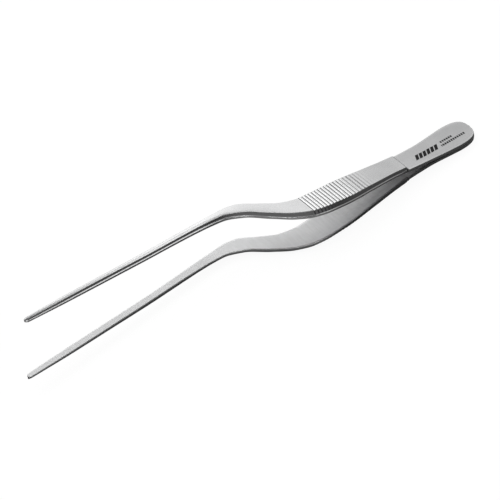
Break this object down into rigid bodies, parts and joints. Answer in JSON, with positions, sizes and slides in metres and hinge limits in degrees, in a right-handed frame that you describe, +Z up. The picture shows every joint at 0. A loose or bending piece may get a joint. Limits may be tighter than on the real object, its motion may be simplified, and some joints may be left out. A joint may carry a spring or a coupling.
{
  "type": "bayonet aquascaping tweezers",
  "caption": "Bayonet tweezers with mirror-image sprung steel leaves joined at a flat rounded butt, ribbed finger grips, an offset bend and slim tips for planting.",
  "frame": {"origin": "middle of the footprint, on the table that the tweezers lie on", "axes": "+X along the tool towards the butt, so the tips point to -X; +Y is the side that the bayonet bend steps towards; +Z up, the way the leaves spring apart"},
  "size_m": [0.1656, 0.0212, 0.0294],
  "materials": {
    "satin_steel": "fine satin stainless steel, brushed along the leaf, with polished rounded edges",
    "weld_seam": "dull fused stainless steel seam"
  },
  "bodies": {
    "root": {"upper_leaf_butt": "satin_steel", "lower_leaf_butt": "satin_steel", "butt_weld": "weld_seam"},
    "upper_arm": {"upper_leaf_arm": "satin_steel"},
    "lower_arm": {"lower_leaf_arm": "satin_steel"}
  },
  "joints": [
    {"name": "upper_leaf_flex", "type": "hinge", "parent": "root", "child": "upper_arm", "pos_m": [0.05988, -0.0053, 0.00446], "axis": [0, -1, 0], "range_deg": [0, 4.53], "stiffness_Nm_per_rad": 3},
    {"name": "lower_leaf_flex", "type": "hinge", "parent": "root", "child": "lower_arm", "pos_m": [0.05967, -0.0053, 0.00225], "axis": [0, 1, 0], "range_deg": [0, 4.53], "stiffness_Nm_per_rad": 3}
  ],
  "couplings": [
    {"joint": "lower_leaf_flex", "follows": "upper_leaf_flex", "ratio": 1}
  ]
}
